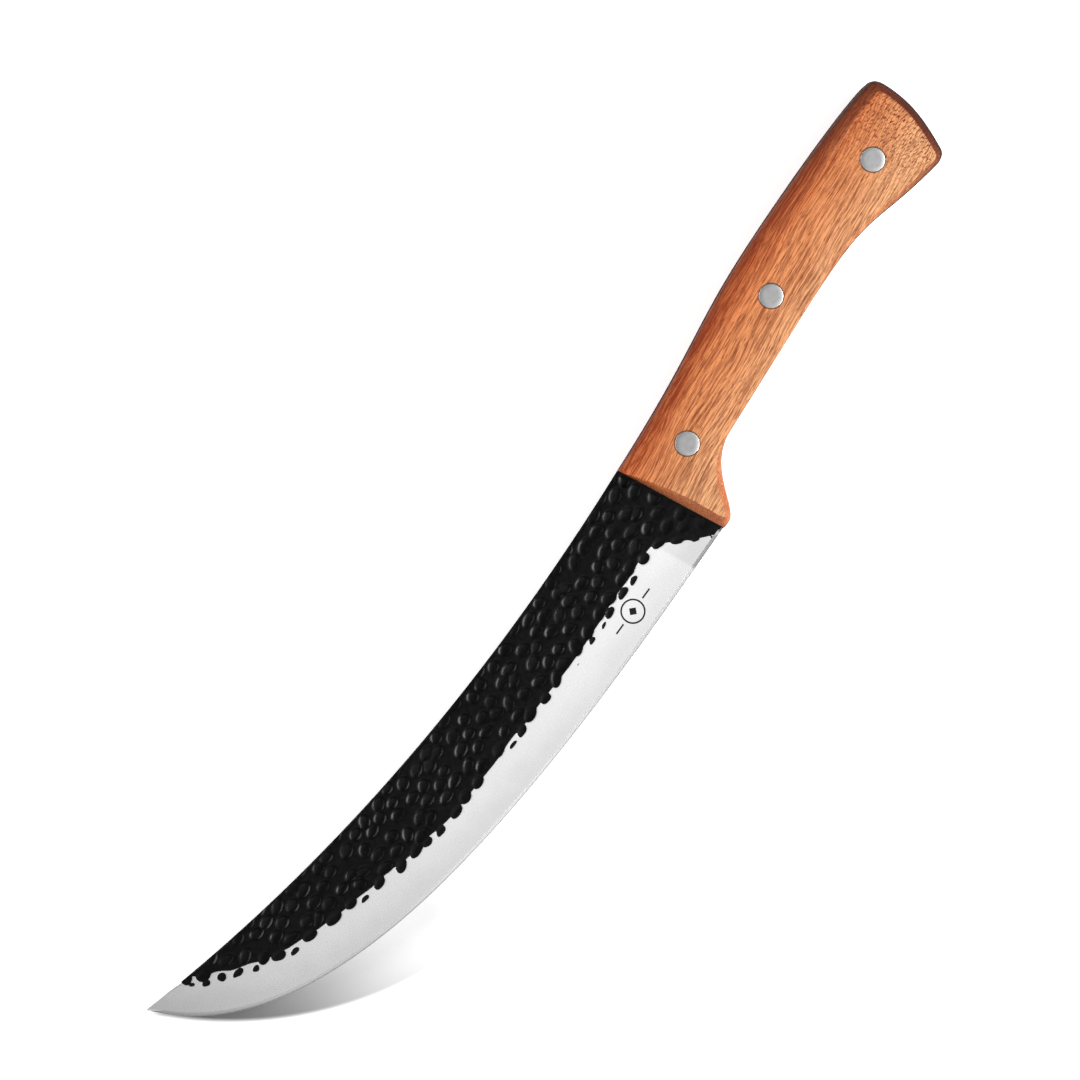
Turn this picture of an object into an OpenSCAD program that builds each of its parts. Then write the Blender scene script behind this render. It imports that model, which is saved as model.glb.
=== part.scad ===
// Butcher's knife with an upswept blade: a full tang between two wooden
// scales, bedded in epoxy and held by three two-piece compression rivets.
// The knife lies flat on its right scale. +X runs to the butt, +Y to the
// spine, +Z up out of the left scale. The origin is the middle of the
// footprint, on the surface that the knife lies on. Millimetres.
// Outlines are drawn about the front end of the rivet line and moved once.

/* [Blade] */
// Length of the blade along the handle, from the handle's front to the tip
blade_l = 221.8; // [160:0.2:300]
// Height of the tip above the rivet line
tip_rise = 47.5; // [30:0.5:60]
// Slope of the cutting edge where it leaves the handle
heel_slope = 2.5; // [0:0.5:6]
// Slope of the cutting edge where it reaches the tip
tip_slope = 72; // [55:1:80]
// Slope of the spine where it reaches the tip
spine_slope = 20; // [10:1:28]
// Blunt end left on the very tip
tip_land = 0.8; // [0.4:0.1:2]
// Thickness of the steel at the handle and along the whole tang
blade_t = 2.8; // [2:0.1:4.5]
// Thickness of the spine at the tip
tip_t = 1.5; // [1:0.1:2.5]
// How much finer than the tang the blade is on each side, at the handle
shoulder = 0.05; // [0.03:0.01:0.2]
// Width of the ground bevel, square to the cutting edge
bevel_w = 13.4; // [8:0.2:18]
// Width of the fine edge bevel
micro_w = 1.2; // [0.6:0.1:2.5]
// Thickness where the fine edge bevel starts
micro_t = 0.7; // [0.5:0.05:1]
// Thickness left at the cutting edge
edge_t = 0.2; // [0.1:0.05:0.4]
// Width of the chamfer along each side of the spine
spine_w = 0.8; // [0.4:0.1:1.5]
// Distance from the handle to the start of the ground bevel
plunge_gap = 2; // [1:0.5:6]
// Length over which the ground bevel reaches its full width
plunge_l = 13; // [8:0.5:25]

/* [Handle] */
// Length of the handle, from the front end of the rivet line to the butt
handle_l = 145.8; // [115:0.2:180]
// Thickness over both scales
handle_t = 20; // [16:0.5:26]
// Height of the spine side at the handle's front, above the rivet line
front_rise = 11.9; // [9:0.1:15]
// Height of the spine side at its highest, above the rivet line
hump_rise = 14.8; // [12:0.1:18]
// Depth of the grip, from the highest point of the spine side
grip_h = 26.4; // [22:0.2:32]
// Depth of the guard's lowest point below the rivet line
guard_drop = 26.2; // [20:0.2:32]
// Length of the guard, from the handle's front to the grip
guard_l = 28.4; // [22:0.2:36]
// How far the front face's belly end lies behind its spine end
front_rake = 2.5; // [0:0.5:6]
// Length of the flared butt, from the grip to the end
flare_l = 75.4; // [50:0.2:90]
// Depth of the beak at the butt below the rivet line
beak_drop = 22.6; // [17:0.2:28]
// Height of the spine side at the butt, above the rivet line
butt_rise = 9.8; // [7:0.2:12]
// How far the tang stands proud of the wood all round
tang_proud = 0.25; // [0.1:0.05:0.5]
// Thickness of the epoxy bedding under each scale
bedding_t = 0.15; // [0.1:0.05:0.4]

/* [Rounding of the scales] */
// Width of the rounding along the middle of the spine side
back_round = 7; // [3:0.5:9]
// Depth of the rounding along the spine side
back_deep = 5; // [2:0.5:7]
// Width of the chamfer down the front face
front_chamfer = 2.8; // [1:0.2:4]
// Depth of the chamfer down the front face
front_deep = 4.5; // [1:0.5:6]
// Width of the chamfer inside the guard
guard_chamfer = 2.3; // [1:0.1:3.5]
// Width of the easing along the grip's belly side
belly_ease = 1; // [0.5:0.1:2]
// Width of the rounding round the butt
butt_round = 2.8; // [1:0.2:4]

/* [Rivets] */
// Diameter of the rivet heads
head_d = 7.8; // [6:0.1:10]
// Thickness of the rivet heads
head_t = 2.4; // [1.5:0.1:3.5]
// Outer diameter of the sleeves
sleeve_d = 5; // [4:0.1:5.8]
// Diameter of the posts
post_d = 3.6; // [2.6:0.1:3.8]
// Distance of the front rivet from the handle's front
front_rivet_in = 17.9; // [14:0.1:26]
// Distance of the rear rivet from the butt
rear_rivet_in = 22.4; // [14:0.1:30]
// How far each rivet lies below the handle's middle, from the front
rivet_drop = [0.6, 1.5, 0.7]; // [0:0.1:3]
// Clearance round a head or a sleeve in its hole
hole_fit = 0.05; // [0.02:0.01:0.1]
// Clearance round a post in its sleeve
post_fit = 0.02; // [0.01:0.01:0.05]
// Free length left past the end of a sleeve or a post
end_gap = 0.8; // [0.3:0.1:2]

/* [Hidden] */
$fn = 64;

function bez(p, t) = pow(1 - t, 3) * p[0] + 3 * pow(1 - t, 2) * t * p[1]
    + 3 * (1 - t) * t * t * p[2] + pow(t, 3) * p[3];
function mix(a, b, u) = a + (b - a) * u;
function clamp(v) = min(1, max(0, v));
function from_to(a, b, n) = [for (i = [0:n - 1]) mix(a, b, i / n)];

// Point of a curve at a given x, found by halving; x grows along the curve.
function point_at(p, x, lo = 0, hi = 1, n = 24) = let (mid = (lo + hi) / 2)
    n == 0 ? bez(p, mid)
    : bez(p, mid)[0] < x ? point_at(p, x, mid, hi, n - 1) : point_at(p, x, lo, mid, n - 1);

// ---- handle outline, about the front end of the rivet line ----
grip_drop = grip_h - hump_rise;
front_top = [-front_rake / 3, front_rise];
front_foot = [front_rake * 2 / 3, 0.5 - guard_drop];
guard_tip = [front_foot[0] + 2.8, -guard_drop];
grip_front = [guard_l, -grip_drop];
grip_rear = [handle_l - flare_l, -grip_drop];
hump = [handle_l / 2 + 0.5, hump_rise];
butt_top = [handle_l - 2.4, butt_rise];
butt_side = [handle_l, butt_rise - 4.8];
beak_back = [handle_l - 7.6, 2.4 - beak_drop];
beak_front = [handle_l - 12.9, 0.5 - beak_drop];

back_front_curve = [front_top, [0.55 * hump[0], front_rise - 0.3],
    [0.68 * hump[0], hump_rise], hump];
back_rear_curve = [hump, [mix(hump[0], butt_top[0], 0.29), hump_rise],
    [butt_top[0] - 7.5, butt_rise + 2.8], butt_top];
butt_top_curve = [butt_top, butt_top + [1.5, -0.6], butt_side + [0, 2.6], butt_side];
butt_curve = [butt_side, butt_side - [0, 10], beak_back + [4.5, 8.2], beak_back];
beak_curve = [beak_back, beak_back + [-1, -1.9], beak_front + [2.4, -0.7], beak_front];
flare_curve = [grip_rear, grip_rear + [0.55 * flare_l, 0],
    beak_front + [-0.38 * flare_l, 6.6], beak_front];
guard_curve = [guard_tip, guard_tip + [5.1, 0], grip_front - [13.3, 0], grip_front];
toe_curve = [guard_tip, guard_tip - [1.3, 0], front_foot - [-0.2, 0.3], front_foot];

// Samples along the butt, the front, the guard, the grip and the flare.
N_BUTT_TOP = 4;
N_BUTT = 8;
N_BEAK = 5;
N_TOE = 3;
N_FRONT = 8;
N_GUARD = 16;
N_GRIP = 4;
N_FLARE = 14;
N_SIDE = N_GUARD + N_GRIP + N_FLARE;
N_END = N_BUTT_TOP + N_BUTT + N_BEAK;

// The belly side from the guard's tip to the beak, and the spine side over it.
belly = concat([for (i = [0:N_GUARD - 1]) bez(guard_curve, i / N_GUARD)],
    from_to(grip_front, grip_rear, N_GRIP),
    [for (i = [0:N_FLARE]) bez(flare_curve, i / N_FLARE)]);
function back_at(x) = point_at(x < hump[0] ? back_front_curve : back_rear_curve, x);
function along(i) = (belly[i][0] - guard_tip[0]) / (beak_front[0] - guard_tip[0]);
back = [for (i = [0:N_SIDE]) i == 0 ? front_top : i == N_SIDE ? butt_top
    : back_at(mix(front_top[0], butt_top[0], along(i)))];

// Closed ring: spine side to the butt, down the butt, belly side back to the
// guard, and up the front.
outline = concat([for (i = [0:N_SIDE - 1]) back[i]],
    [for (i = [0:N_BUTT_TOP - 1]) bez(butt_top_curve, i / N_BUTT_TOP)],
    [for (i = [0:N_BUTT - 1]) bez(butt_curve, i / N_BUTT)],
    [for (i = [0:N_BEAK - 1]) bez(beak_curve, i / N_BEAK)],
    [for (i = [0:N_SIDE - 1]) belly[N_SIDE - i]],
    [for (i = [0:N_TOE - 1]) bez(toe_curve, i / N_TOE)],
    from_to(front_foot, front_top, N_FRONT));
N_RING = len(outline);

function inward(i) = let (d = outline[(i + 1) % N_RING] - outline[(i + N_RING - 1) % N_RING])
    [d[1], -d[0]] / norm(d);
wood_outline = [for (i = [0:N_RING - 1]) outline[i] + tang_proud * inward(i)];

// ---- easing of the scales' outer edges ----
// Each value is [shift in x, shift in y, depth, 1 if round or 0 if flat],
// given at the start, middle and end of a stretch of the ring.
scale_t = (handle_t - blade_t) / 2 - bedding_t;
function ease3(a, b, c, n) = [for (i = [0:n - 1]) let (u = i / n)
    a * (1 - u) * (1 - 2 * u) + b * 4 * u * (1 - u) + c * u * (2 * u - 1)];
ease_front_top = [0.3, -0.4 * back_round, 0.6 * back_deep, 1];
ease_hump = [0, -back_round, back_deep, 1];
ease_butt_top = [-butt_round, -0.6 * back_round, 0.9 * back_deep, 1];
ease_butt = [-butt_round, 0.3, butt_round, 1];
ease_beak = [-0.8, 1.6 * belly_ease, butt_round / 2, 0.5];
ease_flare = [-0.3, 1.4 * belly_ease, belly_ease, 0.3];
ease_grip = [0, belly_ease, belly_ease, 1];
ease_guard = [-0.75 * guard_chamfer, 0.6 * guard_chamfer, guard_chamfer, 0.3];
ease_guard_tip = [0.2, 0.8 * guard_chamfer, guard_chamfer, 0.3];
ease_front = [front_chamfer, 0, front_deep, 0.2];
easing = concat(ease3(ease_front_top, ease_hump, ease_butt_top, N_SIDE),
    ease3(ease_butt_top, ease_butt, ease_beak, N_END),
    ease3(ease_beak, ease_flare, ease_grip, N_FLARE),
    ease3(ease_grip, ease_grip, ease_grip, N_GRIP),
    ease3(ease_grip, ease_guard, ease_guard_tip, N_GUARD),
    ease3(ease_guard_tip, ease_front, ease_front_top, N_TOE + N_FRONT));
N_LEVELS = 6;

// Level 0 is the top of the side wall, level N_LEVELS the edge of the flat face.
function level_at(i, k) = let (u = k / N_LEVELS, e = easing[i],
        inset = mix(u, 1 - cos(90 * u), e[3]), drop = mix(1 - u, 1 - sin(90 * u), e[3]))
    [wood_outline[i][0] + e[0] * inset, wood_outline[i][1] + e[1] * inset,
        scale_t - min(e[2], 0.8 * scale_t) * drop];
function level(k) = [for (i = [0:N_RING - 1]) level_at(i, k)];
scale_rings = concat([[for (p = wood_outline) [p[0], p[1], 0]]],
    [for (k = [0:N_LEVELS]) level(k)]);

// Triangles that close a ring, as rungs from the spine side to the belly side.
function spine_i(i) = i;
function belly_i(i) = 2 * N_SIDE + N_END - i;
function end_fan(first, last) = [for (j = [first:last - 1]) [j % N_RING, (j + 1) % N_RING]];
cap = concat(
    [for (e = end_fan(belly_i(0), N_RING)) [spine_i(1), e[0], e[1]]],
    [[spine_i(1), belly_i(1), belly_i(0)]],
    [for (i = [1:N_SIDE - 2]) each [[spine_i(i), spine_i(i + 1), belly_i(i)],
        [spine_i(i + 1), belly_i(i + 1), belly_i(i)]]],
    [for (e = end_fan(N_SIDE, N_SIDE + N_END)) [spine_i(N_SIDE - 1), e[0], e[1]]],
    [[spine_i(N_SIDE - 1), belly_i(N_SIDE), belly_i(N_SIDE - 1)]]);

// Faces between successive closed rings of n points each.
function skin(n, rings) = [for (k = [0:rings - 2], i = [0:n - 1])
    let (a = k * n + i, b = k * n + (i + 1) % n) each [[a, b + n, b], [a, a + n, b + n]]];
function flip(faces) = [for (f = faces) [f[2], f[1], f[0]]];

module scale_blank() {
    last = (N_LEVELS + 1) * N_RING;
    polyhedron([for (r = scale_rings) each r], concat(
        flip(cap), skin(N_RING, N_LEVELS + 2), [for (f = cap) [for (v = f) v + last]]));
}

// ---- blade outline and sections ----
tip = [-blade_l, tip_rise];
edge_curve = [front_foot, front_foot + 0.425 * blade_l * [-cos(heel_slope), sin(heel_slope)],
    tip + 0.287 * blade_l * [cos(tip_slope), -sin(tip_slope)],
    tip + tip_land * [cos(tip_slope), -sin(tip_slope)]];
spine_curve = [front_top, front_top - [0.4 * blade_l, 0.5],
    tip + 0.282 * blade_l * [cos(spine_slope), -sin(spine_slope)], tip];
N_PLUNGE = 9;
N_BLADE = 34;
PLUNGE_END = 0.065;
stations = concat([for (i = [1:N_PLUNGE - 1]) PLUNGE_END * i / N_PLUNGE],
    [for (i = [0:N_BLADE]) mix(PLUNGE_END, 1, i / N_BLADE)]);

// Half section at a station: [distance from the edge, half thickness] pairs.
function half_section(t, depth) = let (
        run = front_foot[0] - bez(edge_curve, t)[0],
        grown = sin(90 * clamp((run - plunge_gap) / plunge_l)),
        half = mix(blade_t / 2 - shoulder, tip_t / 2, t),
        bevel = max(0.6, min(bevel_w, 0.8 * depth) * grown),
        micro = max(0.3, min(micro_w, 0.25 * depth) * grown),
        strip = min(spine_w, 0.1 * depth))
    [[0, mix(half - 0.3, edge_t / 2, grown)], [min(micro, bevel / 2), mix(half - 0.15, micro_t / 2, grown)],
        [bevel, half], [depth - strip, half], [depth, half - 0.3 * strip]];

function blade_ring(t) = let (top = bez(spine_curve, t), foot = bez(edge_curve, t),
        depth = norm(top - foot), up = (top - foot) / depth, half = half_section(t, depth))
    [for (k = [0:9]) let (h = half[k < 5 ? k : 9 - k], p = foot + up * h[0])
        [p[0], p[1], k < 5 ? h[1] : -h[1]]];

// The blade's root runs a little way into the tang, inside its surfaces.
ROOT = 3;
ROOT_SHARE = 0.98;
root_middle = (front_top[1] + front_foot[1]) / 2;
root_ring = [for (p = blade_ring(0)) [p[0] + ROOT, mix(root_middle, p[1], ROOT_SHARE), p[2]]];
blade_rings = concat([root_ring], [for (t = stations) blade_ring(t)]);

module blade_blank() {
    last = len(blade_rings) - 1;
    polyhedron([for (r = blade_rings) each r], concat(
        skin(10, last + 1), [for (k = [1:8]) [0, k, k + 1]],
        [for (k = [1:8]) [last * 10, last * 10 + k + 1, last * 10 + k]]));
}

// ---- placing ----
extremes = concat(outline, [tip]);
xs = [for (p = extremes) p[0]];
ys = [for (p = extremes) p[1]];
centre = [(min(xs) + max(xs)) / 2, (min(ys) + max(ys)) / 2];
module placed(z = 0) { translate([-centre[0], -centre[1], z]) children(); }

// ---- rivets ----
front_rivet_x = front_rivet_in;
rear_rivet_x = handle_l - rear_rivet_in;
rivet_x = [front_rivet_x, (front_rivet_x + rear_rivet_x) / 2, rear_rivet_x];
function belly_at(x) = x < guard_l ? point_at(guard_curve, x)
    : x < grip_rear[0] ? [x, -grip_drop] : point_at(flare_curve, x);
function rivet_place(i) = [rivet_x[i],
    (back_at(rivet_x[i])[1] + belly_at(rivet_x[i])[1]) / 2 - rivet_drop[i]];
shank_foot = head_t + end_gap;
shank_top = handle_t - head_t;

module rivet_holes() {
    for (i = [0:2]) placed() translate(rivet_place(i)) {
        translate([0, 0, -1]) cylinder(d = sleeve_d + 2 * hole_fit, h = handle_t + 2);
        translate([0, 0, -1]) cylinder(d = head_d + 2 * hole_fit, h = head_t + 1);
        translate([0, 0, shank_top]) cylinder(d = head_d + 2 * hole_fit, h = head_t + 1);
    }
}

module rivet_sleeve(i) {
    color("silver") placed() translate(rivet_place(i)) difference() {
        union() {
            translate([0, 0, shank_foot]) cylinder(d = sleeve_d, h = shank_top - shank_foot);
            translate([0, 0, shank_top]) cylinder(d = head_d, h = head_t);
        }
        translate([0, 0, shank_foot - 1])
            cylinder(d = post_d + 2 * post_fit, h = shank_top - shank_foot + 1);
    }
}

module rivet_post(i) {
    color("silver") placed() translate(rivet_place(i)) {
        cylinder(d = head_d, h = head_t);
        cylinder(d = post_d, h = shank_top - end_gap);
    }
}

// ---- steel ----
module blade() {
    color([0.2, 0.2, 0.22]) difference() {
        placed(handle_t / 2) {
            blade_blank();
            translate([0, 0, -blade_t / 2]) linear_extrude(blade_t) polygon(outline);
        }
        rivet_holes();
    }
}

// ---- wood and its bedding ----
module left_scale() {
    color([0.63, 0.33, 0.14]) difference() {
        placed(handle_t - scale_t) scale_blank();
        rivet_holes();
    }
}

module right_scale() {
    color([0.63, 0.33, 0.14]) difference() {
        placed(scale_t) mirror([0, 0, 1]) scale_blank();
        rivet_holes();
    }
}

module bedding(z) {
    color([0.16, 0.12, 0.1]) difference() {
        placed(z) linear_extrude(bedding_t) polygon(wood_outline);
        rivet_holes();
    }
}
module left_bedding() { bedding(handle_t - scale_t - bedding_t); }
module right_bedding() { bedding(scale_t); }

module front_rivet_sleeve() { rivet_sleeve(0); }
module front_rivet_post() { rivet_post(0); }
module middle_rivet_sleeve() { rivet_sleeve(1); }
module middle_rivet_post() { rivet_post(1); }
module rear_rivet_sleeve() { rivet_sleeve(2); }
module rear_rivet_post() { rivet_post(2); }

blade();
left_scale();
right_scale();
left_bedding();
right_bedding();
front_rivet_sleeve();
front_rivet_post();
middle_rivet_sleeve();
middle_rivet_post();
rear_rivet_sleeve();
rear_rivet_post();
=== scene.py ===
import math

import bmesh
import bpy
import numpy as np
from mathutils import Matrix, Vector
from mathutils.geometry import delaunay_2d_cdt


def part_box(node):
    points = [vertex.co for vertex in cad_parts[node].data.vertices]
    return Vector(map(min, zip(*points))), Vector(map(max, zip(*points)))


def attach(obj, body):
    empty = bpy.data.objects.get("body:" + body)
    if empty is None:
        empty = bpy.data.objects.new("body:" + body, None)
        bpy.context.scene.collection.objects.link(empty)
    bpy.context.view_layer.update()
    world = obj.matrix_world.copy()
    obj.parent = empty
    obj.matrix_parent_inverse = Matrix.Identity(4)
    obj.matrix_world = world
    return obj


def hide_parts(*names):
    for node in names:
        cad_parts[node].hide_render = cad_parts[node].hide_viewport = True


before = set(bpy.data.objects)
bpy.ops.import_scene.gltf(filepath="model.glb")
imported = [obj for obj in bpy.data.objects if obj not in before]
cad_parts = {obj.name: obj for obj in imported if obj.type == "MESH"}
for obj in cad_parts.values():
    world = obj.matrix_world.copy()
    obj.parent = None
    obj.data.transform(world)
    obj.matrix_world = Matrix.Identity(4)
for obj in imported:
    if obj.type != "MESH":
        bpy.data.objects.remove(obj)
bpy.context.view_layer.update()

# Butcher's knife with an upswept, hammered blade and riveted wooden scales.
# Lengths are in millimetres from DATUM, where the line of rivets meets the
# handle's front, in the middle of the steel: x runs to the butt, y to the
# spine, z out of the left side.

# ---- Blade and tang ----
# One forging of carbon steel. Its faces keep their peened marks and black
# forge scale, and the bevel is ground bright through both, which leaves a
# ragged border. The full tang is the same steel, cut to the handle's outline.

# The sizes of the blade and the handle are the ones that the CAD has.
MM = 0.001
BLADE_L = 221.8
TIP_RISE = 47.5
HEEL_SLOPE = math.radians(2.5)
TIP_SLOPE = math.radians(72)
SPINE_SLOPE = math.radians(20)
TIP_LAND = 0.8
SHOULDER = 0.05
TIP_T = 1.5
EDGE_T = 0.2
FINE_BEVEL_W = 1.2
FINE_BEVEL_T = 0.7
SPINE_CHAMFER = 0.8

HANDLE_L = 145.8
FRONT_RISE = 11.9
HUMP_RISE = 14.8
GRIP_DROP = 11.6
GUARD_DROP = 26.2
GUARD_L = 28.4
FRONT_RAKE = 2.5
FLARE_L = 75.4
BEAK_DROP = 22.6
BUTT_RISE = 9.8

blade_low, blade_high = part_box("blade")
TANG_HALF = (blade_high.z - blade_low.z) / 2 / MM
DATUM = Vector((
    blade_high.x - HANDLE_L * MM,
    blade_high.y - TIP_RISE * MM,
    (blade_low.z + blade_high.z) / 2,
))


def at(x, y):
    """A point of the knife's outline."""
    return np.array([x, y], float)


def mix(a, b, share):
    """The value a share of the way from a to b."""
    return a + (b - a) * share


def bezier(control, t):
    """Points of a cubic curve, from its four control points."""
    start, lift, land, end = control
    t = np.asarray(t, float)[..., None]
    return (1 - t) ** 3 * start + 3 * (1 - t) ** 2 * t * lift + 3 * (1 - t) * t**2 * land + t**3 * end


def stretch(control, count):
    """A curve's points without its last one, which starts the next stretch."""
    return bezier(control, np.arange(count) / count)


front_top = at(-FRONT_RAKE / 3, FRONT_RISE)
front_foot = at(FRONT_RAKE * 2 / 3, 0.5 - GUARD_DROP)
guard_tip = at(front_foot[0] + 2.8, -GUARD_DROP)
grip_front = at(GUARD_L, -GRIP_DROP)
grip_rear = at(HANDLE_L - FLARE_L, -GRIP_DROP)
hump = at(HANDLE_L / 2 + 0.5, HUMP_RISE)
butt_top = at(HANDLE_L - 2.4, BUTT_RISE)
butt_side = at(HANDLE_L, BUTT_RISE - 4.8)
beak_back = at(HANDLE_L - 7.6, 2.4 - BEAK_DROP)
beak_front = at(HANDLE_L - 12.9, 0.5 - BEAK_DROP)

# The handle's curves. The middle two of their four points set how full they are.
back_front = [front_top, at(0.55 * hump[0], FRONT_RISE - 0.3), at(0.68 * hump[0], HUMP_RISE), hump]
back_rear = [
    hump,
    at(mix(hump[0], butt_top[0], 0.29), HUMP_RISE),
    at(butt_top[0] - 7.5, BUTT_RISE + 2.8),
    butt_top,
]
butt_corner = [butt_top, butt_top + at(1.5, -0.6), butt_side + at(0, 2.6), butt_side]
butt_end = [butt_side, butt_side - at(0, 10), beak_back + at(4.5, 8.2), beak_back]
beak = [beak_back, beak_back + at(-1, -1.9), beak_front + at(2.4, -0.7), beak_front]
flare = [grip_rear, grip_rear + at(0.55 * FLARE_L, 0), beak_front + at(-0.38 * FLARE_L, 6.6), beak_front]
guard = [guard_tip, guard_tip + at(5.1, 0), grip_front - at(13.3, 0), grip_front]
toe = [guard_tip, guard_tip - at(1.3, 0), front_foot - at(-0.2, 0.3), front_foot]

# How many points each stretch of the handle's outline gets.
FINENESS = 3
GUARD_POINTS = 16 * FINENESS
GRIP_POINTS = 4 * FINENESS
FLARE_POINTS = 14 * FINENESS
SIDE_POINTS = GUARD_POINTS + GRIP_POINTS + FLARE_POINTS
CORNER_POINTS = 4 * FINENESS
BUTT_POINTS = 8 * FINENESS
BEAK_POINTS = 5 * FINENESS
END_POINTS = CORNER_POINTS + BUTT_POINTS + BEAK_POINTS
TOE_POINTS = 3 * FINENESS
FRONT_POINTS = 8 * FINENESS
BACK_SAMPLES = 200

belly_line = np.vstack([
    stretch(guard, GUARD_POINTS),
    mix(grip_front, grip_rear, np.arange(GRIP_POINTS)[:, None] / GRIP_POINTS),
    bezier(flare, np.linspace(0, 1, FLARE_POINTS + 1)),
])
fine_t = np.linspace(0, 1, BACK_SAMPLES)
back_line = np.vstack([bezier(back_front, fine_t), bezier(back_rear, fine_t)])
back_share = (belly_line[:, 0] - guard_tip[0]) / (beak_front[0] - guard_tip[0])
back_x = mix(front_top[0], butt_top[0], back_share)
back_points = np.column_stack([back_x, np.interp(back_x, back_line[:, 0], back_line[:, 1])])

# Clockwise from the left: spine side, butt, belly side, toe and front.
outline = np.vstack([
    back_points[:-1],
    stretch(butt_corner, CORNER_POINTS),
    stretch(butt_end, BUTT_POINTS),
    stretch(beak, BEAK_POINTS),
    belly_line[:0:-1],
    stretch(toe, TOE_POINTS),
    mix(front_foot, front_top, np.arange(FRONT_POINTS)[:, None] / FRONT_POINTS),
])

# The blade's two curves. A reach is how far a curve's end keeps its direction.
EDGE_HEEL_REACH = 0.425 * BLADE_L
EDGE_TIP_REACH = 0.287 * BLADE_L
SPINE_HEEL_REACH = 0.4 * BLADE_L
SPINE_TIP_REACH = 0.282 * BLADE_L
SPINE_SAG = 0.5

tip = at(-BLADE_L, TIP_RISE)
heel_run = at(-math.cos(HEEL_SLOPE), math.sin(HEEL_SLOPE))
tip_run = at(math.cos(TIP_SLOPE), -math.sin(TIP_SLOPE))
spine_run = at(math.cos(SPINE_SLOPE), -math.sin(SPINE_SLOPE))
edge = [
    front_foot,
    front_foot + EDGE_HEEL_REACH * heel_run,
    tip + EDGE_TIP_REACH * tip_run,
    tip + TIP_LAND * tip_run,
]
spine = [
    front_top,
    front_top - at(SPINE_HEEL_REACH, SPINE_SAG),
    tip + SPINE_TIP_REACH * spine_run,
    tip,
]

# The grinder's bevel: its width where it is full, how that wanders along the
# blade, and where the bevel runs out before the handle.
BEVEL_W_HEEL = 15.2
BEVEL_W_TIP = 13.6
BEVEL_SWAY = 0.5
SWAY_LENGTHS = (11, 23)
PLUNGE_GAP = 2.8
PLUNGE_L = 12.5
BEVEL_BELLY = 0.12
SPINE_CHAMFER_SLOPE = 0.3

# Peened marks: spacing, half lengths, half widths and depths. Over the stretch
# MARK_FADE above the edge, their depth grows from a share, MARK_LEFT, to full.
MARK_PITCH = (6.2, 4.5)
MARK_MARGIN = 3
MARK_SHIFT = 0.75
MARK_LONG = (2.1, 3.1)
MARK_SHORT = (1.6, 2.1)
MARK_DEEP = (0.26, 0.36)
MARK_TURN = 0.3
MARK_TILT = 0.15
MARK_BOWL = 4.2
MARK_FADE = (12.0, 18.0)
MARK_LEFT = 0.35
SWELL = 0.03
SWELL_WAVES = 7
SWELL_LENGTH = (7, 18)
LEFT_SEED = 11
RIGHT_SEED = 29


def peened(x, y, draw):
    """Depth of the hammer's marks below the rolled face."""
    dents = np.zeros_like(x)
    lattice_y = np.arange(y.min() - MARK_MARGIN, y.max() + MARK_MARGIN, MARK_PITCH[1])
    lattice_x = np.arange(x.min() - MARK_MARGIN, x.max() + MARK_MARGIN, MARK_PITCH[0])
    for row, mark_y in enumerate(lattice_y):
        for mark_x in lattice_x + row % 2 * MARK_PITCH[0] / 2:
            mid_x = mark_x + draw.normal(0, MARK_SHIFT)
            mid_y = mark_y + draw.normal(0, MARK_SHIFT)
            long = draw.uniform(*MARK_LONG)
            short = draw.uniform(*MARK_SHORT)
            deep = draw.uniform(*MARK_DEEP)
            turn = draw.normal(0, MARK_TURN)
            tilt_x = draw.normal(0, MARK_TILT)
            tilt_y = draw.normal(0, MARK_TILT)
            near = np.hypot(x - mid_x, y - mid_y) < long
            off_x = x[near] - mid_x
            off_y = y[near] - mid_y
            u = (off_x * math.cos(turn) + off_y * math.sin(turn)) / long
            v = (off_y * math.cos(turn) - off_x * math.sin(turn)) / short
            bowl = np.clip(1 - (u * u + v * v) ** (MARK_BOWL / 2), 0, 1)
            dents[near] = np.maximum(dents[near], deep * bowl * (1 + tilt_x * u + tilt_y * v))
    return dents


def swell(x, y, draw):
    """Slow unevenness that forging leaves between the marks."""
    height = np.zeros_like(x)
    for _ in range(SWELL_WAVES):
        heading = draw.uniform(0, math.pi)
        length = draw.uniform(*SWELL_LENGTH)
        phase = draw.uniform(0, 2 * math.pi)
        run = x * math.cos(heading) + y * math.sin(heading)
        height += np.sin(run * 2 * math.pi / length + phase)
    return SWELL * (1 + height / SWELL_WAVES)


# The blade's face is a grid: stations along the edge, rows from edge to spine.
# The apex's upper side is APEX_ROW, and the fine bevel's is FINE_ROW. Near the
# tip, bevel, chamfer and coarse rows are held to a share of the breadth.
STATIONS = 556
EDGE_SAMPLES = 2000
BEVEL_ROWS = 8
FACE_ROWS = 72
SPINE_ROWS = 3
APEX_ROW = 1
FINE_ROW = 3
APEX_W = 0.12
APEX_T = 0.06
COARSE_W = 9.0
FINE_BEVEL_SHARE = 0.25
CHAMFER_SHARE = 0.1
COARSE_SHARE = 0.35
FORGED_IN = 1.5

sample_t = np.linspace(0, 1, EDGE_SAMPLES)
edge_steps = np.diff(bezier(edge, sample_t), axis=0)
run_of_edge = np.concatenate([[0], np.cumsum(np.hypot(*edge_steps.T))])
station_run = np.linspace(0, run_of_edge[-1], STATIONS)
station_t = np.interp(station_run, run_of_edge, sample_t)
foot = bezier(edge, station_t)
top = bezier(spine, station_t)
breadth = np.hypot(*(top - foot).T)
fine_w = np.minimum(FINE_BEVEL_W, FINE_BEVEL_SHARE * breadth)
chamfer_w = np.minimum(SPINE_CHAMFER, CHAMFER_SHARE * breadth)
coarse_w = np.minimum(COARSE_W, COARSE_SHARE * breadth)

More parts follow.
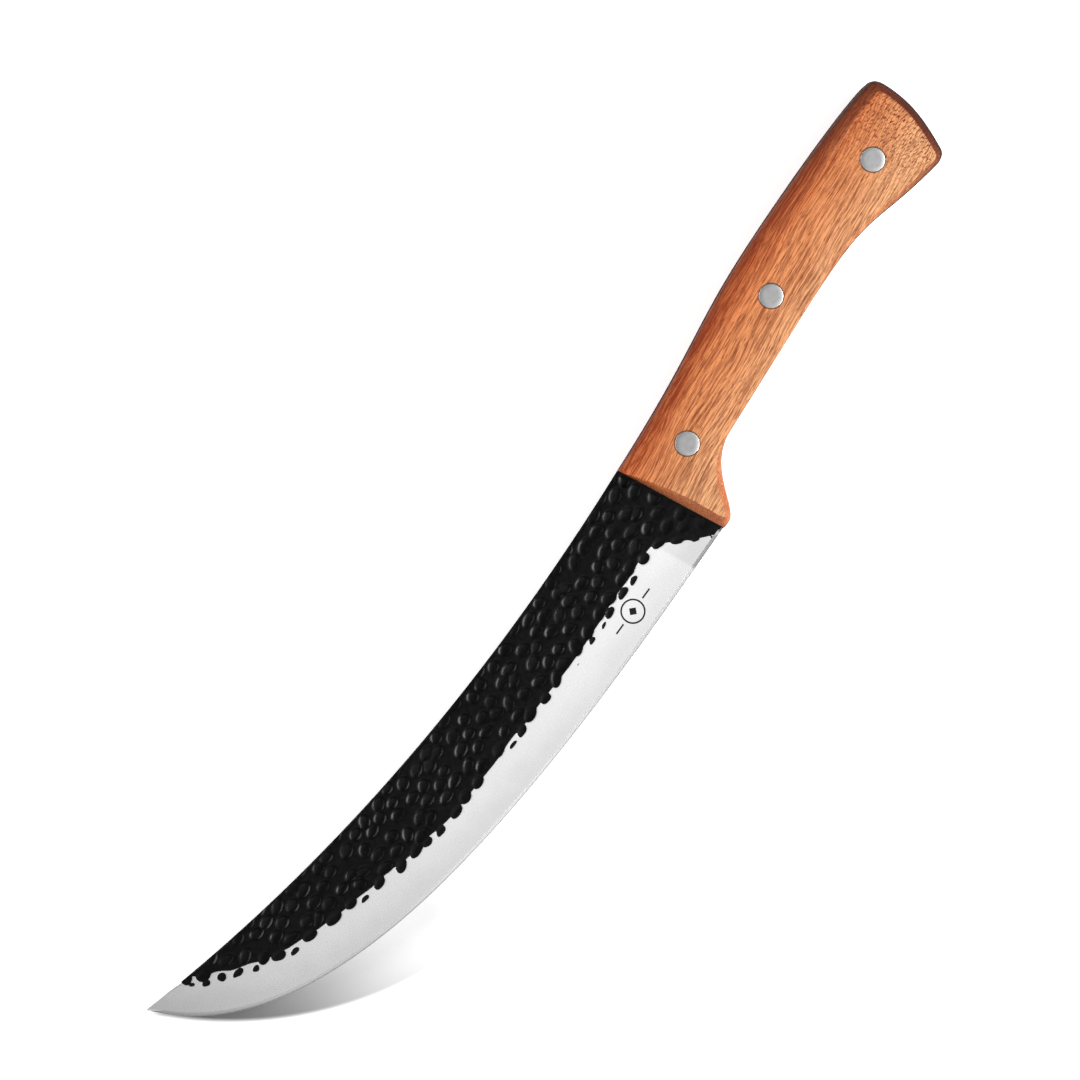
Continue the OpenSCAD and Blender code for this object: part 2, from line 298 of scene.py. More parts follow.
across = np.vstack([
    [0 * breadth, 0 * breadth + APEX_W, fine_w / 2],
    mix(fine_w, coarse_w, np.arange(BEVEL_ROWS)[:, None] / BEVEL_ROWS),
    mix(coarse_w, breadth - chamfer_w, np.arange(FACE_ROWS)[:, None] / FACE_ROWS),
    mix(breadth - chamfer_w, breadth, np.linspace(0, 1, SPINE_ROWS + 1)[:, None]),
]).T
ROWS = across.shape[1]
along = station_run[:, None] + 0 * across
face_x = foot[:, :1] + (top - foot)[:, :1] * across / breadth[:, None]
face_y = foot[:, 1:] + (top - foot)[:, 1:] * across / breadth[:, None]


def blade_face(seed):
    """One side's half thickness, and how far the ground plane lies above its forged skin."""
    draw = np.random.default_rng(seed)
    half = mix(TANG_HALF - SHOULDER, TIP_T / 2, station_t)[:, None] + 0 * across
    struck = np.clip((across - MARK_FADE[0]) / (MARK_FADE[1] - MARK_FADE[0]), 0, 1)
    marks = peened(face_x, face_y, draw) * mix(MARK_LEFT, 1, struck)
    forged = half - marks - swell(face_x, face_y, draw)
    sway = sum(np.sin(along / length + draw.uniform(0, 6)) for length in SWAY_LENGTHS)
    bevel_w = mix(BEVEL_W_HEEL, BEVEL_W_TIP, station_t)[:, None] + BEVEL_SWAY * sway
    share = (across - fine_w[:, None]) / (bevel_w - fine_w[:, None])
    share = share + BEVEL_BELLY * share * (1 - share)
    ground = mix(FINE_BEVEL_T / 2, half, share)
    fine = mix(EDGE_T / 2, FINE_BEVEL_T / 2, across / fine_w[:, None])
    fine[:, 0] = APEX_T / 2
    ground = np.where(across < fine_w[:, None], fine, ground)
    run = (front_foot[0] - foot[:, :1] - PLUNGE_GAP) / PLUNGE_L
    ground = ground + (half - FINE_BEVEL_T / 2) * (1 - np.clip(run, 0, 1))
    past_face = across - (breadth - chamfer_w)[:, None]
    chamfer = half - SPINE_CHAMFER_SLOPE * past_face
    skin = np.minimum(forged, ground)
    skin = np.where(past_face > 0, np.minimum(skin, chamfer), skin)
    fade = np.clip(along / FORGED_IN, 0, 1)
    return mix(TANG_HALF, skin, fade * fade * (3 - 2 * fade)), ground - forged


left_half, left_skin = blade_face(LEFT_SEED)
right_half, right_skin = blade_face(RIGHT_SEED)

RING = 2 * ROWS
blade_points = np.concatenate([
    np.dstack([face_x, face_y, left_half]),
    np.dstack([face_x, face_y, -right_half])[:, ::-1],
], axis=1).reshape(-1, 3)
blade_skin = np.concatenate([left_skin, right_skin[:, ::-1]], axis=1).ravel()
blade_along = np.concatenate([along, along], axis=1).ravel()
blade_across = np.concatenate([across, across[:, ::-1]], axis=1).ravel()


def skin_faces(rings, points, start=0):
    """Four-sided faces between successive closed rings of points."""
    ring, point = np.meshgrid(np.arange(rings - 1), np.arange(points), indexing="ij")
    here = start + ring * points + point
    beside = start + ring * points + (point + 1) % points
    return np.stack([here, beside, beside + points, here + points], axis=-1).reshape(-1, 4).tolist()


def ring_faces(first, second):
    """Four-sided faces between two closed rings, given as lists of indices."""
    turned = zip(first, first[1:] + first[:1], second[1:] + second[:1], second)
    return [list(face) for face in turned]


INSIDE_WITH_HOLES = 2
MERGE_WITHIN = 1e-6


def flat_faces(points, outer, holes):
    """Triangles of a flat face with holes, all given as lists of indices."""
    order = outer + [i for hole in holes for i in hole]
    flat = [Vector(points[i][:2]) for i in order]
    rings = [list(range(len(outer)))]
    for hole in holes:
        rings.append(list(range(rings[-1][-1] + 1, rings[-1][-1] + 1 + len(hole))))
    cut = delaunay_2d_cdt(flat, [], rings, INSIDE_WITH_HOLES, MERGE_WITHIN)
    _, _, faces, sources, _, _ = cut
    return [[order[sources[i][0]] for i in face] for face in faces]


def circle(centre, radius, z, count):
    """Points round a circle at one height."""
    turn = np.arange(count) * 2 * math.pi / count
    x = centre[0] + radius * np.cos(turn)
    y = centre[1] + radius * np.sin(turn)
    return np.column_stack([x, y, np.full(count, z)])


def make_piece(name, points, faces, crisp=30):
    """A closed mesh, placed by DATUM, smooth but for edges past the crisp angle in degrees."""
    mesh = bpy.data.meshes.new(name)
    mesh.from_pydata([DATUM + Vector(p) * MM for p in points], [], faces)
    shell = bmesh.new()
    shell.from_mesh(mesh)
    bmesh.ops.recalc_face_normals(shell, faces=shell.faces)
    shell.to_mesh(mesh)
    shell.free()
    mesh.polygons.foreach_set("use_smooth", [True] * len(mesh.polygons))
    mesh.set_sharp_from_angle(angle=math.radians(crisp))
    piece = bpy.data.objects.new(name, mesh)
    bpy.context.scene.collection.objects.link(piece)
    return piece


def crease(piece, on_line):
    """Keeps the shading crisp along the edges whose two ends are both on the line."""
    mesh = piece.data
    ends = np.empty(2 * len(mesh.edges), int)
    mesh.edges.foreach_get("vertices", ends)
    sharp = np.empty(len(mesh.edges), bool)
    mesh.attributes["sharp_edge"].data.foreach_get("value", sharp)
    sharp |= on_line[ends.reshape(-1, 2)].all(axis=1)
    mesh.attributes["sharp_edge"].data.foreach_set("value", sharp)


def note(piece, name, values):
    """Stores a number at every point of a piece, for its finish to read."""
    noted = piece.data.attributes.new(name, "FLOAT", "POINT")
    noted.data.foreach_set("value", np.asarray(values, np.float32))


HOLE_POINTS = 64
SLEEVE_HOLE = 2.55
RIVETS = ["front_rivet", "middle_rivet", "rear_rivet"]


def rivet_centre(name):
    """Where a rivet goes through the outline."""
    low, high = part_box(name + "_sleeve")
    return ((low + high) / 2 - DATUM).xy / MM


tang_rim = outline[1:-FRONT_POINTS]
rim_start = len(blade_points)
left_rim = list(range(rim_start, rim_start + len(tang_rim)))
right_rim = [i + len(tang_rim) for i in left_rim]
tang_points = [np.column_stack([tang_rim, 0 * tang_rim[:, 0] + side * TANG_HALF]) for side in (1, -1)]
left_front = list(range(ROWS))
right_front = list(range(RING - 1, ROWS - 1, -1))
left_outer = [left_front[-1]] + left_rim + left_front[:-1]
right_outer = [right_front[-1]] + right_rim + right_front[:-1]
hole_start = rim_start + 2 * len(tang_rim)
left_holes = []
right_holes = []
for name in RIVETS:
    left_holes.append(list(range(hole_start, hole_start + HOLE_POINTS)))
    right_holes.append([i + HOLE_POINTS for i in left_holes[-1]])
    hole_start += 2 * HOLE_POINTS
    for side in (1, -1):
        tang_points.append(circle(rivet_centre(name), SLEEVE_HOLE, side * TANG_HALF, HOLE_POINTS))
points = np.vstack([blade_points] + tang_points)

faces = skin_faces(STATIONS, RING)
last = (STATIONS - 1) * RING
faces += [[last + i, last + i + 1, last + RING - 2 - i, last + RING - 1 - i] for i in range(ROWS - 1)]
faces += flat_faces(points, left_outer, left_holes)
faces += flat_faces(points, right_outer, right_holes)
for left_hole, right_hole in zip(left_holes, right_holes):
    faces += ring_faces(left_hole, right_hole)
rim_length = len(tang_rim) + 2
faces += ring_faces(left_outer[:rim_length], right_outer[:rim_length])[:-1]

blade = make_piece("blade_and_tang", points, faces)
fine_rows = [APEX_ROW, FINE_ROW, RING - 1 - FINE_ROW, RING - 1 - APEX_ROW]
on_fine_bevel = np.isin(np.arange(len(points)) % RING, fine_rows)
on_fine_bevel[rim_start:] = False
crease(blade, on_fine_bevel)
bare = np.ones(len(points) - rim_start)
note(blade, "forge_skin", np.concatenate([blade_skin, bare]))
note(blade, "along_edge", np.concatenate([blade_along, 0 * bare]))
note(blade, "above_edge", np.concatenate([blade_across, 0 * bare]))


class Tone:
    """A value that varies over a finish. An expression on it adds the nodes it needs."""

    def __init__(self, nodes, socket):
        self.nodes = nodes
        self.socket = socket

    def _math(self, operation, first, second=0.0):
        return self.nodes.node("ShaderNodeMath", {"operation": operation}, {0: first, 1: second})

    def __add__(self, other):
        return self._math("ADD", self, other)

    def __radd__(self, other):
        return self._math("ADD", other, self)

    def __sub__(self, other):
        return self._math("SUBTRACT", self, other)

    def __rsub__(self, other):
        return self._math("SUBTRACT", other, self)

    def __mul__(self, other):
        return self._math("MULTIPLY", self, other)

    def __rmul__(self, other):
        return self._math("MULTIPLY", other, self)

    def __pow__(self, other):
        return self._math("POWER", self, other)

    def __abs__(self):
        return self._math("ABSOLUTE", self)

    def least(self, other):
        """The smaller of the two."""
        return self._math("MINIMUM", self, other)

    def most(self, other):
        """The larger of the two."""
        return self._math("MAXIMUM", self, other)

    def between(self, low, high):
        """0 below low, 1 above high, or the other way round when low is the higher."""
        smooth = {"interpolation_type": "SMOOTHSTEP"}
        return self.nodes.node("ShaderNodeMapRange", smooth, {0: self, 1: low, 2: high})


class Nodes:
    """The nodes of one tree, a finish's or the room's."""

    def __init__(self, tree):
        self.tree = tree

    def node(self, kind, settings=None, values=None, output=0):
        """Any node: its settings are set first, then the values or links of its sockets."""
        made = self.tree.nodes.new(kind)
        for key, value in (settings or {}).items():
            setattr(made, key, value)
        for key, value in (values or {}).items():
            if isinstance(value, Tone):
                self.tree.links.new(value.socket, made.inputs[key])
            else:
                made.inputs[key].default_value = value
        return Tone(self, made.outputs[output])


class Finish(Nodes):
    """A material, with x, y and z the place on the piece in millimetres."""

    def __init__(self, name):
        self.material = bpy.data.materials.new(name)
        self.material.use_nodes = True
        super().__init__(self.material.node_tree)
        self.shader = self.tree.nodes["Principled BSDF"]
        metres = self.node("ShaderNodeTexCoord", output="Object")
        to_mm = {0: metres, "Scale": 1 / MM}
        self.here = self.node("ShaderNodeVectorMath", {"operation": "SCALE"}, to_mm)
        self.x, self.y, self.z = self.parts(self.here)

    def parts(self, vector):
        """A vector's three numbers."""
        split = self.node("ShaderNodeSeparateXYZ", values={0: vector})
        return [Tone(self, socket) for socket in split.socket.node.outputs]

    def vector(self, x, y, z):
        """A vector of three numbers."""
        return self.node("ShaderNodeCombineXYZ", values={0: x, 1: y, 2: z})

    def off(self, x, y):
        """How far a place lies from a point of the outline, in x and in y."""
        return self.x - (DATUM.x / MM + x), self.y - (DATUM.y / MM + y)

    def distance(self, x, y):
        """How far a place lies from a point of the outline, straight across."""
        off_x, off_y = self.off(x, y)
        return (off_x * off_x + off_y * off_y) ** 0.5

    def noted(self, name):
        """A number that was stored on the piece."""
        return self.node("ShaderNodeAttribute", {"attribute_name": name}, output="Fac")

    def noise(self, place, scale=1.0, detail=2.0, rough=0.5):
        """Cloudy noise from 0 to 1 about 0.5, with that many cells to the millimetre."""
        values = {"Vector": place, "Scale": scale, "Detail": detail, "Roughness": rough}
        return self.node("ShaderNodeTexNoise", values=values)

    def blend(self, mask, under, over):
        """One colour over another where the mask is 1."""
        colours = {0: mask, 6: under, 7: over}
        return self.node("ShaderNodeMix", {"data_type": "RGBA"}, colours, output=2)

    def bump(self, height):
        """Fine relief from a height in millimetres."""
        values = {"Height": height, "Distance": MM, "Strength": 1.0}
        return self.node("ShaderNodeBump", values=values)

    def surface(self, **values):
        """Sets the shader's sockets, by their names with underscores for spaces."""
        for key, value in values.items():
            socket = self.shader.inputs[key.replace("_", " ")]
            if isinstance(value, Tone):
                self.tree.links.new(value.socket, socket)
            else:
                socket.default_value = value


def paint(red, green, blue):
    """A colour as a shade card gives it, 0 to 255, made linear."""
    shares = [c / 255 for c in (red, green, blue)]
    return tuple(c / 12.92 if c < 0.04045 else ((c + 0.055) / 1.055) ** 2.4 for c in shares) + (1.0,)


def grey(level):
    """A neutral colour of that reflectance."""
    return (level, level, level, 1.0)


BLADE_STEEL = grey(0.86)
STEEL_PAINTED_SHADE = grey(0.72)
HONED_PAINTED_SHADE = grey(0.30)
EDGE_PAINTED_SHADE = grey(0.15)
FORGE_SCALE = grey(0.0135)
SCALE_DUST = grey(0.0165)
STEEL_ROUGH = 0.27
SCALE_ROUGH = 0.26

# Grinding scratches run up from the edge. The stretches below are heights
# above the edge, but for HONED_SHADE_TO_SHEEN, which runs along it from the heel.
SCRATCH_PITCH = (5.0, 0.35, 0.1)
SCRATCH_DEEP = 0.0003
FINE_SCRATCH_DEEP = 0.0001
SPECK_DEEP = 0.004
CRUST_DEEP = 0.01
BORDER_SPECKLE = 0.012
BORDER_SOFT = 0.004
EDGE_SHADE_END = (0.50, 0.30)
EDGE_SHADE_SHARE = 0.35
HONED_END = (1.3, 1.1)
HONED_SHADE_TO_SHEEN = (25, 160)
SCRATCHED_FROM = (1.2, 2.5)
BRIGHTER_FROM = (1.5, 12.0)
BRIGHTER_DRIFT = 6.0

# The etched mark on the left side: a ring round a lozenge, between two bars.
ETCH = grey(0.012)
ETCH_AT = (-35.3, -15.6)
ETCH_TURN = math.radians(-4)
ETCH_RING = 3.7
ETCH_LINE = 0.28
ETCH_LOZENGE = 1.5
ETCH_BAR_AT = 6.9
ETCH_BAR_HALF = 1.9
ETCH_SOFT = 0.05
ETCH_ROUGH = 0.3

steel = Finish("hammered_steel")
along_edge = steel.noted("along_edge")
above_edge = steel.noted("above_edge")
scratch_at = steel.vector(
    along_edge * SCRATCH_PITCH[0],
    above_edge * SCRATCH_PITCH[1],
    steel.z * SCRATCH_PITCH[2],
)
scratches = steel.noise(scratch_at, 1.0, 3.0) - 0.5
fine_scratches = steel.noise(scratch_at, 3.0, 2.0) - 0.5
clouds = steel.noise(steel.here, 0.12, 2.0) - 0.5
specks = steel.noise(steel.here, 2.2, 3.0) - 0.5
crust = steel.noise(steel.here, 0.7, 3.0)
forged_skin = steel.noted("forge_skin") + specks * BORDER_SPECKLE
black = forged_skin.between(-BORDER_SOFT, BORDER_SOFT)

etch_x, etch_y = steel.off(*ETCH_AT)
turned_x = etch_x * math.cos(ETCH_TURN) + etch_y * math.sin(ETCH_TURN)
turned_y = etch_y * math.cos(ETCH_TURN) - etch_x * math.sin(ETCH_TURN)
ring_line = abs(steel.distance(*ETCH_AT) - ETCH_RING) - ETCH_LINE
lozenge = abs(turned_x) + abs(turned_y) - ETCH_LOZENGE
bar_end = abs(abs(turned_x) - ETCH_BAR_AT) - ETCH_BAR_HALF
bars = (abs(turned_y) - ETCH_LINE).most(bar_end)
on_left = steel.z.between(DATUM.z / MM, DATUM.z / MM + ETCH_SOFT)
etched = ring_line.least(lozenge).least(bars).between(ETCH_SOFT, -ETCH_SOFT) * on_left

# Painted shade: the ground bevel is darker near the edge and brightens towards the forged face, with a
# cloudy wander.
brighter = (above_edge + clouds * BRIGHTER_DRIFT).between(*BRIGHTER_FROM)
scratched = above_edge.between(*SCRATCHED_FROM)
# Painted light on the honed facet: painted shade near the heel, where the lamps catch it hardest, and a
# painted highlight paling it towards the tip.
honed_painted_light = steel.blend(along_edge.between(*HONED_SHADE_TO_SHEEN), HONED_PAINTED_SHADE, BLADE_STEEL)
bright = steel.blend(brighter, STEEL_PAINTED_SHADE, BLADE_STEEL)
bright = steel.blend(above_edge.between(*HONED_END), bright, honed_painted_light)
# Painted shade: a thin grey line along the very edge.
bright = steel.blend(above_edge.between(*EDGE_SHADE_END) * EDGE_SHADE_SHARE, bright, EDGE_PAINTED_SHADE)
bright = steel.blend(etched, bright, ETCH)
dark = steel.blend(crust.between(0.35, 0.75), FORGE_SCALE, SCALE_DUST)
steel_rough = STEEL_ROUGH + scratches * 0.05 * scratched + etched * ETCH_ROUGH
scale_rough = SCALE_ROUGH + (crust - 0.5) * 0.12
steel_relief = (scratches * SCRATCH_DEEP + fine_scratches * FINE_SCRATCH_DEEP) * scratched
scale_relief = specks * SPECK_DEEP + (crust - 0.5) * CRUST_DEEP
steel.surface(
    Base_Color=steel.blend(black, bright, dark),
    Metallic=1.0,
    Roughness=steel_rough * (1 - black) + scale_rough * black,
    Normal=steel.bump(steel_relief * (1 - black) + scale_relief * black),
)
blade.data.materials.append(steel.material)
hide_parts("blade")
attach(blade, "root")

# ---- Bedding ----
# A thin film of dark epoxy beds each scale on the tang. It is squeezed out
# flush when the scales are clamped, and sanded off with the wood.

EPOXY = paint(46, 32, 26)
EPOXY_DUST = paint(70, 50, 40)
EPOXY_ROUGH = 0.45
EPOXY_DEEP = 0.01

bedding = Finish("dark_epoxy")
sanding = bedding.noise(bedding.here, 1.5, 3.0)
bedding.surface(
    Base_Color=bedding.blend(sanding.between(0.4, 0.7), EPOXY, EPOXY_DUST),
    Roughness=EPOXY_ROUGH + (sanding - 0.5) * 0.2,
    Normal=bedding.bump((sanding - 0.5) * EPOXY_DEEP),
)
for name in ("left_bedding", "right_bedding"):
    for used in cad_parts[name].material_slots:
        used.material = bedding.material

# ---- Scales ----
# Two slabs of open-grained reddish hardwood, the right one the left one's
# mirror. The spine side is rounded over, the front, guard and butt are
# chamfered by hand, and the faces are sanded flush with the rivets and oiled.

TANG_PROUD = 0.25
BACK_ROUND = 7
BACK_DEEP = 5
FRONT_CHAMFER = 2.8
FRONT_DEEP = 4.5
GUARD_CHAMFER = 2.3
BELLY_EASE = 1
BUTT_ROUND = 2.8
FOOT_RING_H = 0.1
LEVELS = 18
HEAD_HOLE = 3.95
HEAD_T = 2.4
HOLE_EASE = 0.07

scale_low, scale_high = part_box("left_scale")
SCALE_FOOT = (scale_low.z - DATUM.z) / MM
SCALE_T = (scale_high.z - scale_low.z) / MM

outline_run = np.roll(outline, -FINENESS, axis=0) - np.roll(outline, FINENESS, axis=0)
inward = np.column_stack([outline_run[:, 1], -outline_run[:, 0]]) / np.hypot(*outline_run.T)[:, None]
wood_line = outline + TANG_PROUD * inward


def ease(start, middle, end, count):
    """Values along a stretch that pass through three given ones."""
    u = np.arange(count)[:, None] / count
    start, middle, end = (np.array(value, float) for value in (start, middle, end))
    return start * (1 - u) * (1 - 2 * u) + middle * 4 * u * (1 - u) + end * u * (2 * u - 1)


# Shift in x and in y, depth, roundness, then how much of the easing is on the
# spine side, on end grain and round the butt.
EASE_FRONT_TOP = [0.3, -0.4 * BACK_ROUND, 0.6 * BACK_DEEP, 1, 0.8, 0.2, 0]
EASE_HUMP = [0, -BACK_ROUND, BACK_DEEP, 1, 1, 0, 0]
EASE_BUTT_TOP = [-BUTT_ROUND, -0.6 * BACK_ROUND, 0.9 * BACK_DEEP, 1, 0.8, 0.3, 0.7]
EASE_BUTT = [-BUTT_ROUND, 0.3, BUTT_ROUND, 1, 0, 1, 1]
EASE_BEAK = [-0.8, 1.6 * BELLY_EASE, BUTT_ROUND / 2, 0.5, 0, 0.8, 0.5]
EASE_FLARE = [-0.3, 1.4 * BELLY_EASE, BELLY_EASE, 0.3, 0, 0.6, 0]
EASE_GRIP = [0, BELLY_EASE, BELLY_EASE, 1, 0, 0.2, 0]
EASE_GUARD = [-0.75 * GUARD_CHAMFER, 0.6 * GUARD_CHAMFER, GUARD_CHAMFER, 0.3, 0, 0.9, 0]
EASE_GUARD_TIP = [0.2, 0.8 * GUARD_CHAMFER, GUARD_CHAMFER, 0.3, 0, 1, 0]
EASE_FRONT = [FRONT_CHAMFER, 0, FRONT_DEEP, 0.2, 0, 1, 0]
easing = np.vstack([
    ease(EASE_FRONT_TOP, EASE_HUMP, EASE_BUTT_TOP, SIDE_POINTS),
    ease(EASE_BUTT_TOP, EASE_BUTT, EASE_BEAK, END_POINTS),
    ease(EASE_BEAK, EASE_FLARE, EASE_GRIP, FLARE_POINTS),
    ease(EASE_GRIP, EASE_GRIP, EASE_GRIP, GRIP_POINTS),
    ease(EASE_GRIP, EASE_GUARD, EASE_GUARD_TIP, GUARD_POINTS),
    ease(EASE_GUARD_TIP, EASE_FRONT, EASE_FRONT_TOP, TOE_POINTS + FRONT_POINTS),
])

# The crest of the chamfers runs straight across the toe, and a little past it.
PAST_TOE = 3
toe_at = 2 * SIDE_POINTS + END_POINTS
toe_span = slice(toe_at, toe_at + TOE_POINTS + PAST_TOE)
toe_crest = wood_line[toe_span] + easing[toe_span, :2]
toe_share = np.linspace(0, 1, len(toe_crest))[:, None]
easing[toe_span, :2] = mix(toe_crest[0], toe_crest[-1], toe_share) - wood_line[toe_span]


def eased_ring(u):
    """The outer edge's ring at a level from 0, on the side wall, to 1, on the flat face."""
    roundness = easing[:, 3]
    inset = mix(u, 1 - math.cos(u * math.pi / 2), roundness)
    drop = mix(1 - u, 1 - math.sin(u * math.pi / 2), roundness)
    ring = wood_line + easing[:, :2] * inset[:, None]
    return np.column_stack([ring, SCALE_T - easing[:, 2] * drop])


RIM = len(outline)
rings = [np.column_stack([wood_line, np.full(RIM, z)]) for z in (0, FOOT_RING_H)]
rings += [eased_ring(level / LEVELS) for level in range(LEVELS + 1)]
top_ring = len(rings) - 1
scale_points = np.vstack(rings)
levels_up = np.concatenate([np.zeros(2), np.linspace(0, 1, LEVELS + 1)])
off_flat = np.repeat(1 - levels_up, RIM)

scale_faces = skin_faces(len(rings), RIM)
top_holes = []
foot_holes = []
for name in RIVETS:
    centre = rivet_centre(name)
    wells = [
        circle(centre, HEAD_HOLE + HOLE_EASE, SCALE_T, HOLE_POINTS),
        circle(centre, HEAD_HOLE, SCALE_T - HOLE_EASE, HOLE_POINTS),
        circle(centre, HEAD_HOLE, SCALE_T - HEAD_T, HOLE_POINTS),
        circle(centre, SLEEVE_HOLE, SCALE_T - HEAD_T, HOLE_POINTS),
        circle(centre, SLEEVE_HOLE, 0, HOLE_POINTS),
    ]
    start = len(scale_points)
    scale_faces += skin_faces(len(wells), HOLE_POINTS, start)
    top_holes.append(list(range(start, start + HOLE_POINTS)))
    foot_holes.append([i + (len(wells) - 1) * HOLE_POINTS for i in top_holes[-1]])
    scale_points = np.vstack([scale_points] + wells)
scale_faces += flat_faces(scale_points, list(range(top_ring * RIM, (top_ring + 1) * RIM)), top_holes)
scale_faces += flat_faces(scale_points, list(range(RIM)), foot_holes)
on_crest = np.zeros(len(scale_points), bool)
on_crest[top_ring * RIM:(top_ring + 1) * RIM] = True
shares = np.column_stack([off_flat, np.tile(easing[:, 4:], (len(rings), 1))])
spare = len(scale_points) - len(shares)

# The wood's colours, some of them painted shade. The first three run from the belly side to the spine
# side, where painted shade darkens the flat face.
WOOD_PALE = paint(204, 150, 107)
WOOD_MID = paint(192, 124, 80)
WOOD_RED = paint(190, 108, 63)
WOOD_BACK_SHADE = paint(122, 40, 15)
WOOD_PORE = paint(92, 36, 15)
WOOD_END = paint(160, 82, 50)
WOOD_BUTT_END_AND_SHADE = paint(56, 24, 20)
WOOD_EDGE_SHADE = paint(36, 16, 10)
WOOD_ROUGH = 0.50
WOOD_GLOSS = 0.06

# Cells of noise to the millimetre: along the grain, across it and into it.
DRIFT_GRAIN = (0.02, 0.05, 0.05)
BAND_GRAIN = (0.03, 0.30, 0.3)
LINE_GRAIN = (0.055, 1.5, 1.5)
FIBRE_GRAIN = (0.13, 2.6, 2.6)
DASH_GRAIN = (0.30, 2.4, 2.4)
SPECKLE_GRAIN = (0.8, 2.2, 2.2)
GRAIN_WANDER = 8.0
GRAIN_SLANT = -0.03
SPECKLE_SLANT = 0.25
BUTT_FROM = (140, 178)
BACK_FALL = 4.0
RING_W = 0.42
RING_SOFT = 0.05
FIBRE_DEEP = 0.02
PORE_DEEP = 0.03

wood = Finish("oiled_hardwood")


def grained(grain, across_y, detail=2.0, rough=0.5):
    """Noise drawn out along the wood's grain."""
    place = wood.vector(wood.x * grain[0], across_y * grain[1], wood.z * grain[2])
    return wood.noise(place, 1.0, detail, rough)


drift = grained(DRIFT_GRAIN, wood.y) - 0.5
grain_y = wood.y + drift * GRAIN_WANDER + wood.x * GRAIN_SLANT
band = grained(BAND_GRAIN, grain_y, 3.0) - 0.5
line = grained(LINE_GRAIN, grain_y, 4.0, 0.7)
fibre = grained(FIBRE_GRAIN, grain_y, 2.0, 0.6)
dash = grained(DASH_GRAIN, grain_y)
speckle = grained(SPECKLE_GRAIN, wood.y + wood.x * SPECKLE_SLANT)

# Towards the butt, long pores give way to the short dots of rising end grain.
at_butt = wood.x.between(*BUTT_FROM)
pores = dash.between(0.55, 0.68) * (1 - at_butt * 0.7) + speckle.between(0.50, 0.62) * at_butt
streaks = line.between(0.42, 0.6)
shade_toward_back = wood.y + drift * 6.0 + band * 10.0

# The back falls away to both sides of its hump, and the dark band along it, painted shade broken up by
# the grain's streaks, follows it.
past_hump, above_hump = wood.off(HANDLE_L / 2, HUMP_RISE)
from_hump = past_hump * (2 / HANDLE_L)
near_back = above_hump + from_hump * from_hump * BACK_FALL + band * 8.0

eased = wood.noted("off_flat")
back_side = wood.noted("spine_side")
end_grain = wood.noted("end_grain")
round_butt = wood.noted("butt_round")
# Painted shade in a band on the butt's rounding, short of its wall.
butt_rim_shade = eased.between(0.35, 0.70) * (1 - eased.between(0.94, 1.0) * 0.7) * round_butt
front, middle, rear = (wood.distance(*rivet_centre(name)) for name in RIVETS)
past_head = front.least(middle).least(rear) - HEAD_HOLE

# Each layer's strength and colour, from the lowest to the uppermost.
layers = [
    # Painted shade: the flat face goes darker and redder towards the spine side.
    (shade_toward_back.between(-26, -9), WOOD_MID),
    (shade_toward_back.between(-12, 2), WOOD_RED),
    (line.between(0.45, 0.60) * (0.62 - at_butt * 0.3), WOOD_PORE),
    (fibre.between(0.48, 0.60) * 0.48, WOOD_PORE),
    (pores * (0.6 + at_butt * 0.3), WOOD_PORE),
    # Painted shade along the back and over the spine side's rounding, broken up by the grain's streaks.
    (near_back.between(-9.5, -4.0) * (0.2 + streaks * 0.4), WOOD_BACK_SHADE),
    (eased.between(0.0, 0.75) * back_side * (0.35 + streaks * 0.3), WOOD_BACK_SHADE),
    (eased.between(0.0, 0.08) * end_grain * 0.65, WOOD_END),
    # The butt's rounding: dark end grain, darkened further by painted shade.
    (eased.between(0.0, 0.12) * round_butt * 0.9, WOOD_BUTT_END_AND_SHADE),
    # Painted shade: dark lines where the spine side and the butt turn away, and in the gap round each
    # rivet head.
    (eased.between(0.78, 0.92) * back_side * 0.9, WOOD_EDGE_SHADE),
    (butt_rim_shade * 0.92, WOOD_EDGE_SHADE),
    (past_head.between(RING_W, RING_SOFT) * 0.6, WOOD_EDGE_SHADE),
]
body = WOOD_PALE
for strength, colour in layers:
    body = wood.blend(strength, body, colour)
wood.surface(
    Base_Color=body,
    Roughness=WOOD_ROUGH + pores * 0.2 + (fibre - 0.5) * 0.1,
    Specular_IOR_Level=WOOD_GLOSS,
    Normal=wood.bump((fibre + line - 1) * FIBRE_DEEP - pores * PORE_DEEP),
)

for side, name in ((1, "left_scale"), (-1, "right_scale")):
    side_points = (scale_points + [0, 0, SCALE_FOOT]) * [1, 1, side]
    scale = make_piece(name + "_wood", side_points, scale_faces)
    crease(scale, on_crest)
    for column, kind in enumerate(("off_flat", "spine_side", "end_grain", "butt_round")):
        note(scale, kind, np.concatenate([shares[:, column], np.zeros(spare)]))
    scale.data.materials.append(wood.material)
    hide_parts(name)
    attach(scale, "root")

# ---- Rivets ----
# Three two-piece cutler's rivets of nickel silver. A post is pressed into a
# sleeve from the right side, and both heads are sanded flush with the wood.

HEAD_R = 3.9
HEAD_EASE = 0.22
HEAD_STEPS = 4
HEAD_FLAT_R = 0.6 * HEAD_R
SLEEVE_R = 2.5
BORE_R = 1.82
POST_R = 1.8
END_GAP = 0.8
END_CHAMFER = 0.25
TURN_POINTS = 96
TURN_CRISP = 50
FACE = SCALE_FOOT + SCALE_T


